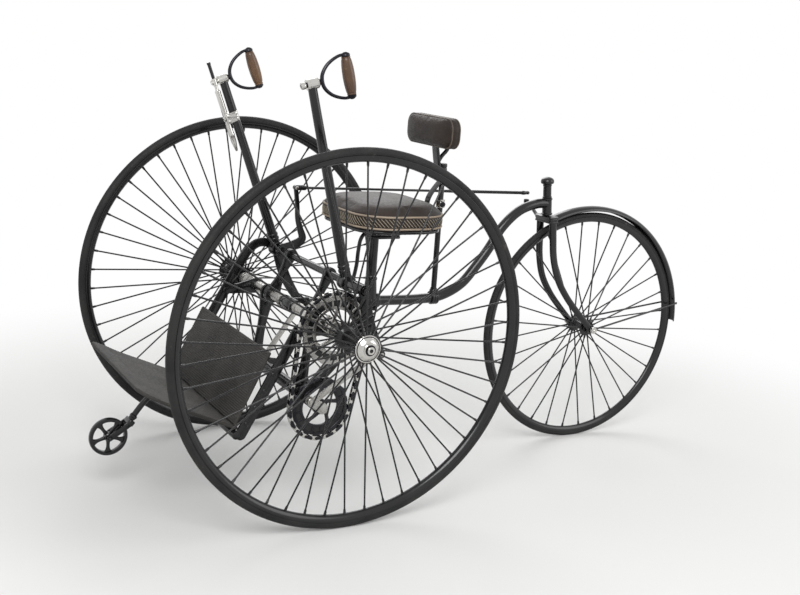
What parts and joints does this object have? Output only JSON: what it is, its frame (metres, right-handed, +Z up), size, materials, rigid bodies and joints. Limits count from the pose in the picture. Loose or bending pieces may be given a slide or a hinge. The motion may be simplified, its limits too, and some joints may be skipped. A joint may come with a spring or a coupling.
{
  "type": "hand-lever tricycle",
  "caption": "Hand-lever tricycle with large side-by-side driving wheels, a steered trailing wheel, a hanging footrest with safety castor, and a padded seat.",
  "frame": {"origin": "on the ground, at the middle of the machine's length and width", "axes": "+X forward, +Y to the machine's left, +Z up"},
  "size_m": [2.2618, 1.146, 1.3758],
  "materials": {
    "black_enamel": "glossy stoved black enamel, a little worn at edges",
    "bright_plate": "bright nickel plate",
    "bright_steel": "turned and filed steel, lightly oiled",
    "black_tyre": "solid dark rubber, matt",
    "grip_wood": "turned dark hardwood, oiled",
    "seat_leather": "dark brown leather, waxed",
    "board_mat": "ribbed dark rubber mat on a board"
  },
  "bodies": {
    "frame": {"backbone": "black_enamel", "axle_casing": "bright_steel", "head_tube": "black_enamel", "lever_shaft": "black_enamel", "crank_bracket": "black_enamel", "drive_chain": "bright_steel", "footrest_frame": "black_enamel", "calf_board": "board_mat", "sole_board": "board_mat", "left_footrest_link": "black_enamel", "right_footrest_link": "black_enamel", "castor_stem": "black_enamel", "seat_base": "black_enamel", "seat_cushion": "seat_leather", "seat_pillar": "black_enamel", "seat_stay": "black_enamel", "back_post": "black_enamel", "post_clamp": "bright_plate", "pad_bracket": "black_enamel", "back_pad": "seat_leather", "seat_strap": "black_enamel"},
    "left_drive_wheel": {"left_wheel": "black_enamel", "left_tyre": "black_tyre", "left_hub_cap": "bright_plate", "left_axle": "bright_steel", "upper_chain_wheel": "bright_steel"},
    "right_drive_wheel": {"right_wheel": "black_enamel", "right_tyre": "black_tyre", "right_hub_cap": "bright_plate", "right_axle": "bright_steel"},
    "crank": {"crankshaft": "bright_steel", "lower_chain_wheel": "black_enamel"},
    "left_hand_lever": {"left_lever": "black_enamel", "left_handle": "black_enamel", "left_grip": "grip_wood"},
    "right_hand_lever": {"right_lever": "black_enamel", "right_handle": "black_enamel", "right_grip": "grip_wood", "right_lock_rod": "bright_plate"},
    "left_rod": {"left_connecting_rod": "bright_steel"},
    "right_rod": {"right_connecting_rod": "bright_steel"},
    "steering": {"steering_column": "black_enamel", "steering_arm": "black_enamel", "rear_mudguard": "black_enamel", "rear_fork": "black_enamel", "rear_axle": "bright_plate", "left_guard_stay": "black_enamel", "right_guard_stay": "black_enamel"},
    "trailing_wheel": {"rear_wheel": "black_enamel", "rear_tyre": "black_tyre"},
    "steering_lever": {"front_steering_lever": "black_enamel"},
    "steering_link": {"steering_rod": "black_enamel"},
    "castor": {"castor_wheel": "black_enamel"}
  },
  "joints": [
    {"name": "left_wheel_spin", "type": "hinge", "parent": "frame", "child": "left_drive_wheel", "pos_m": [0.4973, 0.475, 0.56], "axis": [0, 1, 0], "continuous": true},
    {"name": "right_wheel_spin", "type": "hinge", "parent": "frame", "child": "right_drive_wheel", "pos_m": [0.4973, -0.475, 0.56], "axis": [0, 1, 0], "continuous": true},
    {"name": "crank_spin", "type": "hinge", "parent": "frame", "child": "crank", "pos_m": [0.5323, 0, 0.328], "axis": [0, 1, 0], "continuous": true},
    {"name": "left_lever_swing", "type": "hinge", "parent": "frame", "child": "left_hand_lever", "pos_m": [0.4373, 0.27, 0.69], "axis": [0, 1, 0], "range_deg": [-16.5, 15.5]},
    {"name": "right_lever_swing", "type": "hinge", "parent": "frame", "child": "right_hand_lever", "pos_m": [0.4373, -0.27, 0.69], "axis": [0, 1, 0], "range_deg": [-23.5, 8.5]},
    {"name": "left_rod_swing", "type": "hinge", "parent": "left_hand_lever", "child": "left_rod", "pos_m": [0.3672, 0.376, 0.49205], "axis": [0, 1, 0], "range_deg": [-15.5, 16.5]},
    {"name": "right_rod_swing", "type": "hinge", "parent": "right_hand_lever", "child": "right_rod", "pos_m": [0.3436, -0.246, 0.50206], "axis": [0, 1, 0], "range_deg": [-8.5, 23.5]},
    {"name": "steering_turn", "type": "hinge", "parent": "frame", "child": "steering", "pos_m": [-0.4777, 0, 0.89], "axis": [0.0872, 0, 0.9962], "range_deg": [-25, 25]},
    {"name": "rear_wheel_spin", "type": "hinge", "parent": "steering", "child": "trailing_wheel", "pos_m": [-0.6827, 0, 0.425], "axis": [0, 1, 0], "continuous": true},
    {"name": "steering_lever_swing", "type": "hinge", "parent": "frame", "child": "steering_lever", "pos_m": [0.4373, -0.23, 0.69], "axis": [0, 1, 0], "range_deg": [-18.61, 18.61]},
    {"name": "steering_rod_swing", "type": "hinge", "parent": "steering_lever", "child": "steering_link", "pos_m": [0.3973, -0.23, 0.905], "axis": [0, 0.9994, -0.0351], "range_deg": [-19.81, 19.81]},
    {"name": "castor_spin", "type": "hinge", "parent": "frame", "child": "castor", "pos_m": [1.0723, 0, 0.176], "axis": [0, 1, 0], "continuous": true}
  ],
  "couplings": [
    {"joint": "crank_spin", "follows": "left_wheel_spin", "ratio": 1.1531},
    {"joint": "left_rod_swing", "follows": "left_lever_swing", "ratio": -1},
    {"joint": "right_rod_swing", "follows": "right_lever_swing", "ratio": -1},
    {"joint": "steering_lever_swing", "follows": "steering_turn", "ratio": 0.7442},
    {"joint": "steering_rod_swing", "follows": "steering_turn", "ratio": -0.7922}
  ]
}
